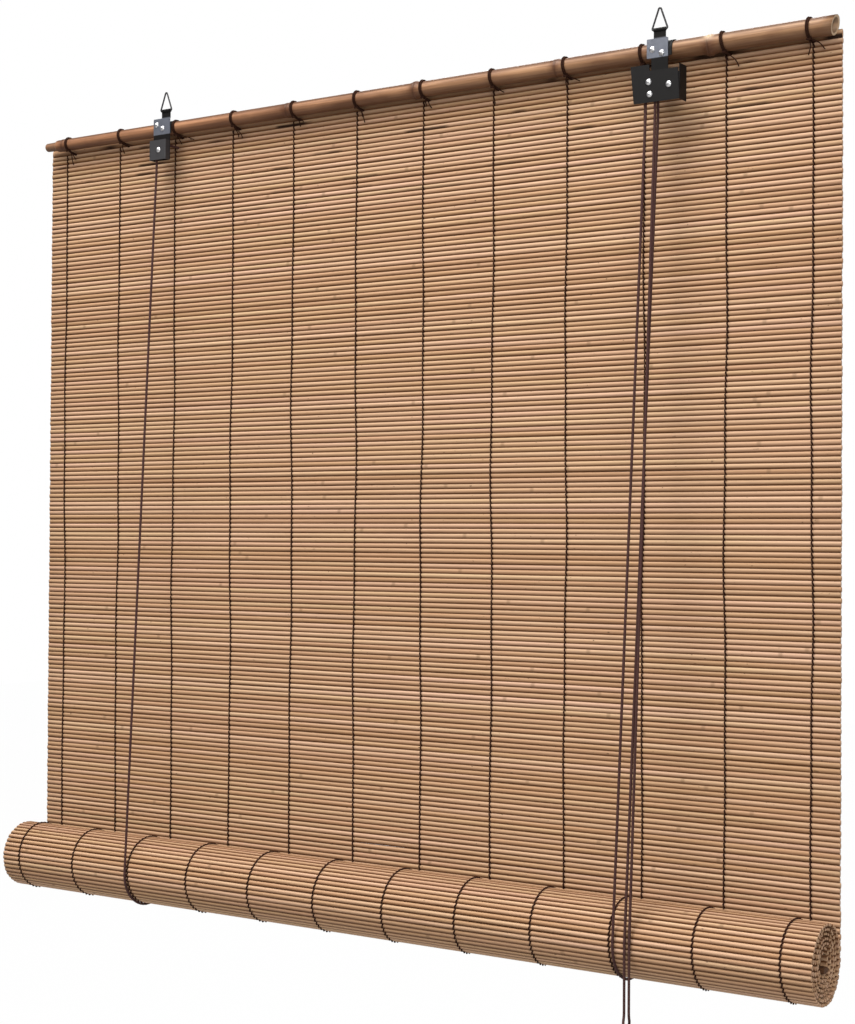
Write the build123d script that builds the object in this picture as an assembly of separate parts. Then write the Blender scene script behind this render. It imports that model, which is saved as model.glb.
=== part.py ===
from build123d import *
import os
from math import acos, asin, atan2, cos, degrees, hypot, pi, radians, sin, tan

# A bamboo roll-up blind, half raised, in millimetres.
# X runs along the pole, Y to the back and Z up.
# The origin lies on the hanging line, where the wall hooks bear in the two wire rings.

# Clearances and the overrun of every cut
seat_gap = 0.3
pin_clearance = 0.1
cut_overrun = 5.0
full_turn = 360.0

# Mat of split bamboo slats, seen as ridges on one wall
mat_width = 1200.0
mat_y = 23.0
mat_top_below_pole = 6.4
slat_count = 163
slat_pitch = 6.2
slat_depth = 3.5
slat_crown_share = 0.42
web_thickness = 1.2

# Warp threads that tie the slats
warp_count = 12
warp_left_margin = 31.1
warp_right_margin = 33.0
thread_width = 1.5
thread_thickness = 0.7
thread_top_below_mat = 8.6

# Open gaps between slats, scattered over the bays between the warp threads
gap_height = 0.9
gap_length_share = 0.7
gaps_per_bay = 8
gap_first_row = 9
gap_row_step = 19
gap_bay_step = 11

# Roll: each turn is round for most of its way, then steps in by one turn pitch
roll_radius = 42.6
roll_turns = 7
turn_pitch = 5.0
turn_step_share = 0.16
bottom_slat_width = 12.0
bottom_slat_depth = 6.0
bottom_slat_edge_radius = 1.5

# Head pole: a bamboo cane that thins towards the left, its front line parallel to X
hook_to_pole = 46.5
pole_inset = 2.0
pole_left_radius = 8.3
pole_right_radius = 11.1
pole_node_shares = (0.029, 0.370, 0.5385, 0.7085, 0.8745)
pole_node_swelling = 1.0
pole_node_half_width = 4.5
pole_node_crown_share = 0.4
pole_tip_length = 21.0
pole_tip_radius_share = 0.72
pole_bore_radius_share = 0.72
pole_bore_depth = 66.0
pole_end_tilt = 14.0

# Lashings that tie the mat's first slat to the pole
lashing_left_margin = 46.0
lashing_right_margin = 33.0
lashing_thread = 1.7
lashing_gap = 0.15
lashing_slit_height = 3.6
slit_margin = 0.5
cord_pass_margin = 1.2

# Wire rings for the wall hooks
ring_wire = 2.2
ring_half_width = 10.2
ring_half_angle = 20.1
ring_corner_radius = 1.6
ring_clearance = 0.2
barrel_width = 15.2
barrel_knuckles = 3
knuckle_gap = 1.2

# Bracket plates, stamped from sheet steel, with a tab curled round the ring.
# Each ring stands beside a lashing, and its bracket's places are offsets from the ring.
plate_thickness = 1.0
plate_shoulder_above_pole = 13.0
plate_corner_radius = 1.2
left_bracket_lashing = 2
left_ring_offset = -11.3
left_plate_left_offset = -22.5
left_plate_right_offset = 7.0
right_bracket_lashing = 9
right_ring_offset = 26.4
right_plate_left_offset = -16.4
right_plate_right_offset = 10.1

# Saddles that wrap the pole behind the plates and carry the knotted ends of the lift cords
saddle_thickness = 1.2
saddle_clearance = 0.1
saddle_front_drop = 8.0
saddle_back_drop = 4.0
saddle_lip_past_cord = 4.0
lip_cord_setback = 1.5
left_saddle_left_offset = -21.5
left_saddle_right_offset = 8.0
right_saddle_left_offset = -13.5
right_saddle_right_offset = 14.5

# Rivets
rivet_head_radius = 3.7
rivet_head_height = 2.1
rivet_foot_radius = 3.0
rivet_foot_height = 0.9
plate_rivet_radius = 1.6
plate_rivet_depth = 6.0
left_rivet_offsets = ((-17.5, 5.0), (-7.0, -0.9))
right_rivet_offsets = ((-9.7, 0.8), (2.3, -4.5))

# Left pulley case
case_top_below_pole = 18.4
case_bottom_below_pole = 45.5
case_depth = 9.0
case_bend_radius = 1.6
left_axle_offset = -5.9
left_axle_below_pole = 32.0
axle_radius = 2.0

# Sheaves: the radius is measured to the middle of the cord
left_sheave_radius = 7.0
lock_sheave_radius = 6.0
sheave_flange = 1.8
sheave_rim = 0.8
sheave_floor = 2.8
sheave_side_clearance = 0.3

# Right cord lock
lock_left_offset = -30.5
lock_step_offset = -4.5
lock_right_offset = 33.5
lock_top_below_pole = 21.0
lock_step_height = 7.5
lock_left_top_inset = 2.2
lock_left_bottom_inset = 6.4
lock_right_top_inset = 2.0
lock_back_bottom_rise = 5.0
lock_bottom_below_pole = 64.5
lock_depth = 16.5
lock_neck_left_offset = -10.5
lock_neck_right_offset = 10.5
lock_flange_top_below_pole = 24.0
lock_axle_offset = -5.5
lock_axle_below_pole = 41.0
cam_axle_offset = 19.8
cam_axle_below_pole = 46.4
cam_hub_radius = 5.5
cam_nose_radius = 4.0
cam_reach = 13.3
cam_rest_angle = 35.0
cam_tooth_depth = 0.6
cam_tooth_count = 5
cam_tooth_step = 22.0
roller_axle_offset = -4.2
roller_axle_below_pole = 55.0
roller_axle_radius = 1.4

# Lift and pull cords
cord_diameter = 3.2
cord_tail = 12.0
cord_joint_gap = 0.15
cord_hole_clearance = 0.9
left_cord_roll_offset = -4.8
left_cord_top_offset = -6.5
right_cord_roll_offset = -21.7
right_cord_top_offset = -3.5
left_cross_offset = 3.4
right_cross_offset = -18.0
left_cross_row = 3
right_cross_row = 5
cross_bend_radius = 6.0
cross_behind_mat = 2.8
pull_roll_offsets = (-6.8, -0.9)
knot_radius = 3.4
knot_seat_share = 0.6

# Hank of the pull cord below the roll
hank_below_roll = 47.0
hank_height = 74.0
hank_width = 44.0
hank_depth = 20.0
hank_eye_width = 11.0
tie_height = 4.0
tie_thickness = 1.2

# Places worked out from the sizes above
pole_z = -hook_to_pole
pole_left_x = pole_inset - mat_width / 2
pole_right_x = mat_width / 2 - pole_inset
warp_spacing = (mat_width - warp_left_margin - warp_right_margin) / (warp_count - 1)
lashing_spacing = (mat_width - lashing_left_margin - lashing_right_margin) / (warp_count - 1)
lashing_first_x = lashing_left_margin - mat_width / 2
left_ring_x = lashing_first_x + left_bracket_lashing * lashing_spacing + left_ring_offset
left_plate_left_x = left_ring_x + left_plate_left_offset
left_plate_right_x = left_ring_x + left_plate_right_offset
left_saddle_left_x = left_ring_x + left_saddle_left_offset
left_saddle_right_x = left_ring_x + left_saddle_right_offset
left_rivet_places = [(left_ring_x + along, above) for along, above in left_rivet_offsets]
left_axle_x = left_ring_x + left_axle_offset
left_cord_roll_x = left_ring_x + left_cord_roll_offset
left_cord_top_x = left_ring_x + left_cord_top_offset
left_cross_x = left_ring_x + left_cross_offset
right_ring_x = lashing_first_x + right_bracket_lashing * lashing_spacing + right_ring_offset
right_plate_left_x = right_ring_x + right_plate_left_offset
right_plate_right_x = right_ring_x + right_plate_right_offset
right_saddle_left_x = right_ring_x + right_saddle_left_offset
right_saddle_right_x = right_ring_x + right_saddle_right_offset
right_rivet_places = [(right_ring_x + along, above) for along, above in right_rivet_offsets]
lock_left_x = right_ring_x + lock_left_offset
lock_step_x = right_ring_x + lock_step_offset
lock_right_x = right_ring_x + lock_right_offset
lock_neck_left_x = right_ring_x + lock_neck_left_offset
lock_neck_right_x = right_ring_x + lock_neck_right_offset
lock_axle_x = right_ring_x + lock_axle_offset
cam_axle_x = right_ring_x + cam_axle_offset
roller_axle_x = right_ring_x + roller_axle_offset
right_cord_roll_x = right_ring_x + right_cord_roll_offset
right_cord_top_x = right_ring_x + right_cord_top_offset
right_cross_x = right_ring_x + right_cross_offset
pull_roll_xs = [right_ring_x + along for along in pull_roll_offsets]
cord_radius = cord_diameter / 2
pole_front_y = plate_thickness / 2 + saddle_thickness + saddle_clearance
mat_top_z = pole_z - mat_top_below_pole
mat_bottom_z = mat_top_z - slat_count * slat_pitch
slat_crown = slat_pitch * slat_crown_share
roll_axis_y = mat_y - roll_radius
roll_axis_z = mat_bottom_z - seat_gap
roll_end_angle = 2 * pi * (roll_turns - turn_step_share)
ring_hinge_z = (
    ring_wire / 2
    + ring_corner_radius * (1 / sin(radians(ring_half_angle)) - 1)
    - ring_half_width / tan(radians(ring_half_angle))
)
sling_radius = roll_radius + slat_depth / 2 + seat_gap + cord_radius
back_cord_y = roll_axis_y + sling_radius
lip_cord_y = back_cord_y + lip_cord_setback
plate_front_y = -plate_thickness / 2
case_front_y = plate_front_y - case_depth
lock_front_y = plate_front_y - lock_depth
left_sheave_y = plate_front_y - (case_depth - plate_thickness) / 2
left_sheave_width = case_depth - plate_thickness - 2 * sheave_side_clearance
lock_width = lock_depth - 2 * sheave_side_clearance
lock_middle_y = plate_front_y - lock_depth / 2
lock_groove_back_y = lock_middle_y + lock_width / 4
lock_groove_front_y = lock_middle_y - lock_width / 4
left_axle_z = pole_z - left_axle_below_pole
lock_axle_z = pole_z - lock_axle_below_pole
cam_axle_z = pole_z - cam_axle_below_pole
roller_axle_z = pole_z - roller_axle_below_pole
case_bottom_z = pole_z - case_bottom_below_pole
lock_bottom_z = pole_z - lock_bottom_below_pole

# Turns a piece made along +Z so that its top faces the front
to_front = Rot(90, 0, 0)


def pole_radius(x):
    """Radius of the cane at x, with the swelling of its nodes."""
    length = pole_right_x - pole_left_x
    share = (x - pole_left_x) / length
    radius = pole_left_radius + (pole_right_radius - pole_left_radius) * share
    for node_share in pole_node_shares:
        distance = abs(x - pole_left_x - node_share * length)
        if distance < pole_node_half_width:
            radius += pole_node_swelling
    return radius


def pole_axis_y(x):
    """Depth of the cane's axis at x: the front line stays parallel to X."""
    share = (x - pole_left_x) / (pole_right_x - pole_left_x)
    return pole_front_y + pole_left_radius + (pole_right_radius - pole_left_radius) * share


def panel(left_x, bottom_z, right_x, top_z):
    """A rectangle in the plane of a bracket plate."""
    center = Pos((left_x + right_x) / 2, (bottom_z + top_z) / 2)
    return center * Rectangle(right_x - left_x, top_z - bottom_z)


def rounded_panel(left_x, bottom_z, right_x, top_z):
    """A rectangle with the corners of a stamped plate."""
    center = Pos((left_x + right_x) / 2, (bottom_z + top_z) / 2)
    return center * RectangleRounded(right_x - left_x, top_z - bottom_z, plate_corner_radius)


def sheet(outline, back_y, thickness):
    """A flat sheet: the outline in X and Z, from back_y towards the front."""
    return Pos(0, back_y, 0) * extrude(Plane.XZ * outline, thickness)


def facing_pin(x, z, radius, back_y, front_y):
    """A round pin or hole along Y."""
    length = back_y - front_y
    return Pos(x, (back_y + front_y) / 2, z) * (to_front * Cylinder(radius, length))


def cord_tube(path):
    """A round cord along a path."""
    start = Plane(origin=path @ 0, z_dir=path % 0)
    return sweep(start * Circle(cord_radius), path)


def report_cord(name, path, solid, radii):
    """Prints the cord's length, its bend radii and its volume against section times length."""
    straight = pi * cord_radius**2 * path.length
    bends = ", ".join(f"{radius:.2f}" for radius in radii)
    print(f"{name}: length {path.length:.1f}, radii [{bends}], volume share {solid.volume / straight:.4f}")


def save(name, *solids):
    """Writes one node: a single solid, or a group of like solids."""
    shape = solids[0] if len(solids) == 1 else Compound(children=list(solids))
    export_step(shape, f"parts/{name}.step")


# Head pole
def make_head_pole():
    length = pole_right_x - pole_left_x
    slope = (pole_right_radius - pole_left_radius) / length
    outline = [(0, 0), (0, pole_left_radius * pole_tip_radius_share)]
    outline.append((pole_tip_length, pole_left_radius * pole_tip_radius_share))
    outline.append((pole_tip_length, pole_left_radius + slope * pole_tip_length))
    crown = pole_node_half_width * pole_node_crown_share
    for share in pole_node_shares:
        middle = share * length
        radius = pole_left_radius + slope * middle
        outline.append((middle - pole_node_half_width, radius - slope * pole_node_half_width))
        outline.append((middle - crown, radius + pole_node_swelling))
        outline.append((middle + crown, radius + pole_node_swelling))
        outline.append((middle + pole_node_half_width, radius + slope * pole_node_half_width))
    outline += [(length, pole_right_radius), (length, 0)]
    cane = revolve(make_face(Polyline(*outline, close=True)), Axis.X)
    bore_radius = pole_right_radius * pole_bore_radius_share
    bore = Cylinder(bore_radius, pole_bore_depth, align=(Align.CENTER, Align.CENTER, Align.MAX))
    cane -= Pos(length, 0, 0) * (Rot(0, 90, 0) * bore)
    tilt = radians(pole_end_tilt)
    end_cut = Plane(origin=(length, 0, pole_right_radius), z_dir=(cos(tilt), 0, -sin(tilt)))
    cane = split(cane, bisect_by=end_cut, keep=Keep.BOTTOM)
    lean = degrees(atan2(pole_right_radius - pole_left_radius, length))
    cane = Pos(pole_left_x, pole_axis_y(pole_left_x), pole_z) * (Rot(0, 0, lean) * cane)
    for x, above in left_rivet_places + right_rivet_places:
        hole_end = pole_front_y + plate_rivet_depth
        cane -= facing_pin(x, pole_z + above, plate_rivet_radius + pin_clearance, hole_end, plate_front_y)
    return cane


# Mat, its slits and threads
def mat_gap(x, row, length, height):
    """A cut through the mat between two slats: row counts the slats above it."""
    z = mat_top_z - row * slat_pitch
    return Pos(x, mat_y, z) * Box(length, slat_depth + cut_overrun, height)


def lashing_x(index):
    return lashing_first_x + index * lashing_spacing


def warp_x(index):
    return warp_left_margin - mat_width / 2 + index * warp_spacing


def make_hanging_mat():
    front = []
    for row in range(slat_count):
        top = mat_top_z - row * slat_pitch
        front.append((web_thickness / 2, top))
        front.append((slat_depth / 2, top - (slat_pitch - slat_crown) / 2))
        front.append((slat_depth / 2, top - (slat_pitch + slat_crown) / 2))
    front.append((web_thickness / 2, mat_bottom_z))
    outline = [(mat_y - out, z) for out, z in front]
    outline += [(mat_y + out, z) for out, z in reversed(front)]
    wall = extrude(Plane.YZ * make_face(Polyline(*outline, close=True)), mat_width / 2, both=True)
    gaps = []
    for index in range(warp_count):
        x = lashing_x(index)
        gaps.append(mat_gap(x, 1, lashing_thread + 2 * slit_margin, lashing_slit_height))
    for x, row in ((left_cross_x, left_cross_row), (right_cross_x, right_cross_row)):
        opening = cord_diameter + 2 * cord_pass_margin
        gaps.append(mat_gap(x, row, opening, opening))
    for bay in range(warp_count - 1):
        middle = (warp_x(bay) + warp_x(bay + 1)) / 2
        for place in range(gaps_per_bay):
            step = place * gap_row_step + bay * gap_bay_step
            row = gap_first_row + step % (slat_count - 2 * gap_first_row)
            gaps.append(mat_gap(middle, row, warp_spacing * gap_length_share, gap_height))
    return wall.cut(*gaps)


def make_warp_threads():
    top_z = mat_top_z - thread_top_below_mat
    strip = Box(thread_width, thread_thickness, top_z - mat_bottom_z)
    out = (slat_depth + thread_thickness) / 2
    middle_z = (top_z + mat_bottom_z) / 2
    strips = []
    for index in range(warp_count):
        for side in (-1, 1):
            strips.append(Pos(warp_x(index), mat_y + side * out, middle_z) * strip)
    return strips


def make_pole_lashings():
    loops = []
    slat_z = mat_top_z - slat_pitch / 2
    slat_reach = slat_pitch / 2 - lashing_thread / 2
    for index in range(warp_count):
        x = lashing_x(index)
        outlines = []
        for grow in (0, lashing_thread):
            around_pole = Pos(pole_axis_y(x), pole_z) * Circle(pole_radius(x) + lashing_gap + grow)
            around_slat = Pos(mat_y, slat_z) * Circle(slat_reach + grow)
            outlines.append(make_hull((around_pole + around_slat).edges()))
        band = outlines[1] - outlines[0]
        loops.append(Pos(x, 0, 0) * extrude(Plane.YZ * band, lashing_thread / 2, both=True))
    return loops


# Roll
def roll_radius_at(angle):
    """Radius of the rolled mat's middle after winding by an angle: round, then stepping in."""
    turn = int(angle / (2 * pi))
    share = angle / (2 * pi) - turn
    step = max(0, share - 1 + turn_step_share) / turn_step_share
    return roll_radius - turn_pitch * (turn + (1 - cos(pi * step)) / 2)


def roll_point(angle, out):
    """A point of the roll's section: wound down at the back, under, up the front and over."""
    radius = roll_radius_at(angle) + out
    return roll_axis_y + radius * cos(angle), roll_axis_z - radius * sin(angle)


def make_rolled_mat():
    """The rolled slats: one ridged wall wound into a spiral, from the hanging mat's end to the hollow."""
    flank = (slat_pitch - slat_crown) / 2
    ridge = [(0, web_thickness / 2), (flank, slat_depth / 2), (flank + slat_crown, slat_depth / 2)]
    angle = 0
    rolled_slats = 0
    profile = []
    while angle + slat_pitch / roll_radius_at(angle) < roll_end_angle:
        radius = roll_radius_at(angle)
        profile += [(angle + along / radius, out) for along, out in ridge]
        angle += slat_pitch / radius
        rolled_slats += 1
    profile.append((angle, web_thickness / 2))
    outline = [roll_point(place, out) for place, out in profile]
    outline += [roll_point(place, -out) for place, out in reversed(profile)]
    print(f"rolled slats {rolled_slats}, whole mat {(rolled_slats + slat_count) * slat_pitch:.0f} long")
    return extrude(Plane.YZ * make_face(Polyline(*outline, close=True)), mat_width / 2, both=True)


def make_roll_threads():
    """The threads round the roll's outer turn, as far as that turn is round."""
    inner = roll_radius + slat_depth / 2 + seat_gap / 2
    sweep_angle = -full_turn * (1 - turn_step_share)
    outer = CenterArc((roll_axis_y, roll_axis_z), inner + thread_thickness, 0, sweep_angle)
    inside = CenterArc((roll_axis_y, roll_axis_z), inner, 0, sweep_angle)
    edges = [outer, inside, Line(outer @ 0, inside @ 0), Line(outer @ 1, inside @ 1)]
    band = extrude(Plane.YZ * make_face(edges), thread_width / 2, both=True)
    return [Pos(warp_x(index), 0, 0) * band for index in range(warp_count)]


def make_bottom_slat():
    """The thicker last slat, lying low in the roll's hollow."""
    hollow = roll_radius_at(roll_end_angle) - slat_depth / 2 - seat_gap
    half_width = bottom_slat_width / 2
    rest = (hollow**2 - half_width**2) ** 0.5
    center = Pos(roll_axis_y, roll_axis_z - rest + bottom_slat_depth / 2)
    section = center * RectangleRounded(bottom_slat_width, bottom_slat_depth, bottom_slat_edge_radius)
    return extrude(Plane.YZ * section, mat_width / 2, both=True)


# Brackets
def make_ring(x):
    apex_z = ring_hinge_z + ring_half_width / tan(radians(ring_half_angle))
    corners = [(x - ring_half_width, 0, ring_hinge_z), (x + ring_half_width, 0, ring_hinge_z), (x, 0, apex_z)]
    path = FilletPolyline(*corners, radius=ring_corner_radius, close=True)
    start = Plane(origin=path @ 0, z_dir=path % 0)
    return sweep(start * Circle(ring_wire / 2), path)


def make_barrel(x):
    """The curl of a bracket's tab round the ring's base wire, along X, parted on top into knuckles."""
    bore = ring_wire / 2 + ring_clearance
    outer = bore + plate_thickness
    barrel = Rot(0, 90, 0) * (Cylinder(outer, barrel_width) - Cylinder(bore, barrel_width))
    reach = outer + cut_overrun
    for knuckle in range(1, barrel_knuckles):
        along = (knuckle / barrel_knuckles - 1 / 2) * barrel_width
        slot = Box(knuckle_gap, reach, reach, align=(Align.CENTER, Align.CENTER, Align.MIN))
        barrel -= Pos(along, 0, 0) * slot
    return Pos(x, 0, ring_hinge_z) * barrel


def make_plate(outline, ring_x):
    """A bracket plate with its tab and curl."""
    bore = ring_wire / 2 + ring_clearance
    shoulder_z = pole_z + plate_shoulder_above_pole
    half_tab = barrel_width / 2
    tab_top = ring_hinge_z - bore - plate_thickness / 2
    tab = panel(ring_x - half_tab, shoulder_z - plate_thickness, ring_x + half_tab, tab_top)
    plate = sheet(outline, plate_thickness / 2, plate_thickness)
    plate += sheet(tab, plate_thickness / 2, plate_thickness)
    return plate + make_barrel(ring_x)


def plate_holes(places):
    radius = plate_rivet_radius + pin_clearance
    back = pole_front_y + plate_rivet_depth
    return [facing_pin(x, pole_z + above, radius, back, plate_front_y - cut_overrun) for x, above in places]


def make_rivet(shank_radius, shank_length, foot):
    """A rivet along Z: its domed head rises from 0 and its shank hangs below."""
    ball_radius = (rivet_head_radius**2 + rivet_head_height**2) / (2 * rivet_head_height)
    ball_z = rivet_head_height - ball_radius
    half_angle = asin(rivet_head_radius / ball_radius) / 2
    on_dome = (ball_radius * sin(half_angle), ball_z + ball_radius * cos(half_angle))
    dome = ThreePointArc((rivet_head_radius, 0), on_dome, (0, rivet_head_height))
    sides = Polyline((0, rivet_head_height), (0, -shank_length), (shank_radius, -shank_length))
    close = Polyline((shank_radius, -shank_length), (shank_radius, 0), (rivet_head_radius, 0))
    rivet = revolve(Plane.XZ * make_face([dome, sides, close]), Axis.Z)
    if foot:
        disc = Cylinder(rivet_foot_radius, rivet_foot_height, align=(Align.CENTER, Align.CENTER, Align.MAX))
        rivet += Pos(0, 0, -shank_length) * disc
    return rivet


def make_plate_rivets(places):
    shank = pole_front_y + plate_rivet_depth - plate_front_y - seat_gap
    rivet = to_front * make_rivet(plate_rivet_radius, shank, False)
    return [Pos(x, plate_front_y, pole_z + above) * rivet for x, above in places]


def make_saddle(left_x, right_x, places, cord_x):
    """A strap over the pole: front leg, half round, back leg and a lip with the cord's hole."""
    middle_x = (left_x + right_x) / 2
    inner = pole_radius(middle_x) + saddle_clearance
    outer = inner + saddle_thickness
    axis_y = pole_axis_y(middle_x)
    over = Pos(axis_y, pole_z) * (Circle(outer) - Circle(inner))
    past = outer + cut_overrun
    over -= panel(axis_y - past, pole_z - past, axis_y + past, pole_z)
    front_leg = panel(axis_y - outer, pole_z - saddle_front_drop, axis_y - inner, pole_z)
    lip_top = pole_z - saddle_back_drop
    lip_bottom = lip_top - saddle_thickness
    back_leg = panel(axis_y + inner, lip_bottom, axis_y + outer, pole_z)
    lip = panel(axis_y + inner, lip_bottom, lip_cord_y + saddle_lip_past_cord, lip_top)
    profile = over + front_leg + back_leg + lip
    saddle = Pos(middle_x, 0, 0) * extrude(Plane.YZ * profile, (right_x - left_x) / 2, both=True)
    for hole in plate_holes(places):
        saddle -= hole
    cord_hole = Cylinder(cord_radius + pin_clearance, saddle_thickness + cut_overrun)
    return saddle - Pos(cord_x, lip_cord_y, lip_top) * cord_hole


def make_knot(cord_x):
    """The knotted end of a lift cord: it sits on the saddle's lip, and its stub fills the hole."""
    lip_top = pole_z - saddle_back_drop
    seat = knot_radius * knot_seat_share
    ball = split(Sphere(knot_radius), bisect_by=Plane.XY.offset(-seat), keep=Keep.TOP)
    stub = Cylinder(cord_radius, saddle_thickness + seat, align=(Align.CENTER, Align.CENTER, Align.MAX))
    return Pos(cord_x, lip_cord_y, lip_top + seat) * (ball + stub)


def make_left_plate():
    top = pole_z + plate_shoulder_above_pole
    outline = rounded_panel(left_plate_left_x, case_bottom_z, left_plate_right_x, top)
    plate = make_plate(outline, left_ring_x)
    for hole in plate_holes(left_rivet_places):
        plate -= hole
    back = plate_thickness / 2 + cut_overrun
    plate -= facing_pin(left_axle_x, left_axle_z, axle_radius + pin_clearance, back, -back)
    cross_z = left_axle_z + left_sheave_radius
    return plate - facing_pin(left_cross_x, cross_z, cord_radius + cord_hole_clearance, back, -back)


def make_left_case():
    """The pulley case: a front face with two sides folded back to the plate."""
    width = left_plate_right_x - left_plate_left_x
    top = pole_z - case_top_below_pole
    middle_x = (left_plate_left_x + left_plate_right_x) / 2
    center = Pos(middle_x, (case_front_y + plate_front_y) / 2, case_bottom_z)
    outer = Rectangle(width, case_depth)
    inner = Pos(0, plate_thickness / 2) * Rectangle(width - 2 * plate_thickness, case_depth - plate_thickness)
    case = center * extrude(outer - inner, top - case_bottom_z)
    front_corners = case.edges().filter_by(Axis.Z).group_by(Axis.Y)[0]
    case = fillet(front_corners, case_bend_radius)
    front = case_front_y - cut_overrun
    hole = facing_pin(left_axle_x, left_axle_z, axle_radius + pin_clearance, plate_front_y, front)
    return case - hole


def make_sheave(radius, width, grooves, bore):
    """A sheave along Z with V-shaped grooves side by side; radius is to the middle of the cord."""
    floor = radius - cord_radius - seat_gap
    flange = radius + sheave_flange
    step = width / grooves
    half = width / 2
    outline = [(bore, -half), (flange, -half)]
    for groove in range(grooves):
        low = -half + groove * step
        outline.append((flange, low + sheave_rim))
        outline.append((floor, low + step / 2 - sheave_floor / 2))
        outline.append((floor, low + step / 2 + sheave_floor / 2))
        outline.append((flange, low + step - sheave_rim))
    outline += [(flange, half), (bore, half)]
    return revolve(Plane.XZ * make_face(Polyline(*outline, close=True)), Axis.Z)


def make_axle(x, z, radius, front_y):
    """A shouldered rivet from a case's front face through the bracket plate, with a foot behind it."""
    length = plate_thickness / 2 - front_y
    return Pos(x, front_y, z) * (to_front * make_rivet(radius, length, True))


def make_right_plate():
    top = pole_z + plate_shoulder_above_pole
    lock_top = pole_z - lock_top_below_pole
    body_bottom = pole_z - saddle_front_drop - plate_corner_radius
    body = rounded_panel(right_plate_left_x, body_bottom, right_plate_right_x, top)
    back_top = lock_top - lock_step_height
    back_left = lock_left_x + lock_left_bottom_inset
    neck = panel(lock_neck_left_x, back_top - plate_thickness, lock_neck_right_x, top - plate_thickness)
    back = rounded_panel(back_left, lock_bottom_z + lock_back_bottom_rise, lock_right_x, back_top)
    plate = make_plate(body + neck + back, right_ring_x)
    flange_top = pole_z - lock_flange_top_below_pole
    flange = panel(lock_right_x - plate_thickness, lock_bottom_z, lock_right_x, flange_top)
    plate += sheet(flange, plate_thickness / 2, lock_depth + plate_thickness)
    for hole in plate_holes(right_rivet_places):
        plate -= hole
    through = plate_thickness / 2 + cut_overrun
    for x, z, radius in lock_axles:
        plate -= facing_pin(x, z, radius + pin_clearance, through, plate_front_y)
    cross_z = lock_axle_z + lock_sheave_radius
    return plate - facing_pin(right_cross_x, cross_z, cord_radius + cord_hole_clearance, through, -through)


def make_lock_face():
    """The lock's front plate: its left part stands higher than its right part, and its sides slant."""
    lock_top = pole_z - lock_top_below_pole
    step_z = lock_top - lock_step_height
    corners = [
        (lock_left_x + lock_left_bottom_inset, lock_bottom_z),
        (lock_right_x, lock_bottom_z),
        (lock_right_x - lock_right_top_inset, step_z),
        (lock_step_x, step_z),
        (lock_step_x, lock_top),
        (lock_left_x + lock_left_top_inset, lock_top),
    ]
    outline = make_face(Polyline(*corners, close=True))
    face = sheet(fillet(outline.vertices(), plate_corner_radius), lock_front_y, plate_thickness)
    front = lock_front_y - plate_thickness
    for x, z, radius in lock_axles:
        face -= facing_pin(x, z, radius + pin_clearance, lock_front_y, front)
    return face


def make_lock_cam():
    """The cam: an arm whose toothed nose swings up against the pull cords."""
    drop = radians(cam_rest_angle)
    nose = Pos(-cam_reach * cos(drop), -cam_reach * sin(drop))
    arm = make_hull((Circle(cam_hub_radius) + nose * Circle(cam_nose_radius)).edges())
    arm -= Circle(axle_radius + pin_clearance)
    for tooth in range(cam_tooth_count):
        angle = 180 + cam_rest_angle + (tooth - (cam_tooth_count - 1) / 2) * cam_tooth_step
        notch = Rot(0, 0, angle) * (Pos(cam_nose_radius, 0) * RegularPolygon(cam_tooth_depth, 4))
        arm -= nose * notch
    back_y = plate_front_y - sheave_side_clearance
    return Pos(cam_axle_x, back_y, cam_axle_z) * extrude(Plane.XZ * arm, lock_width)


# Cords
def front_tangent(y, z):
    """The point where a cord that comes down from (y, z) meets the front of the roll's cord circle."""
    away = hypot(y - roll_axis_y, z - roll_axis_z)
    angle = atan2(z - roll_axis_z, y - roll_axis_y) + acos(sling_radius / away)
    return roll_axis_y + sling_radius * cos(angle), roll_axis_z + sling_radius * sin(angle)


def straight_cord(start, end):
    """A taut cord between two points, short of both by the joint gap."""
    path = Line(start, end)
    share = cord_joint_gap / path.length
    return cord_tube(Line(path @ share, path @ (1 - share)))


def make_sling(x, top_y, top_z):
    """The cord under the roll, from its front tangent to its back tangent."""
    front_y, front_z = front_tangent(top_y, top_z)
    start = degrees(atan2(front_z - roll_axis_z, front_y - roll_axis_y))
    arc = CenterArc((roll_axis_y, roll_axis_z), sling_radius, start, full_turn - start)
    return cord_tube(Pos(x, 0, 0) * (Plane.YZ * arc))


lock_axles = (
    (lock_axle_x, lock_axle_z, axle_radius),
    (cam_axle_x, cam_axle_z, axle_radius),
    (roller_axle_x, roller_axle_z, roller_axle_radius),
)
left_cord_x = left_axle_x - left_sheave_radius
right_cord_x = lock_axle_x - lock_sheave_radius
pull_cord_x = lock_axle_x + lock_sheave_radius
left_cord_z = case_bottom_z - cord_tail
lock_cord_z = lock_bottom_z - cord_tail
cross_y = mat_y + slat_depth / 2 + cross_behind_mat
lip_bottom_z = pole_z - saddle_back_drop - saddle_thickness


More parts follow.
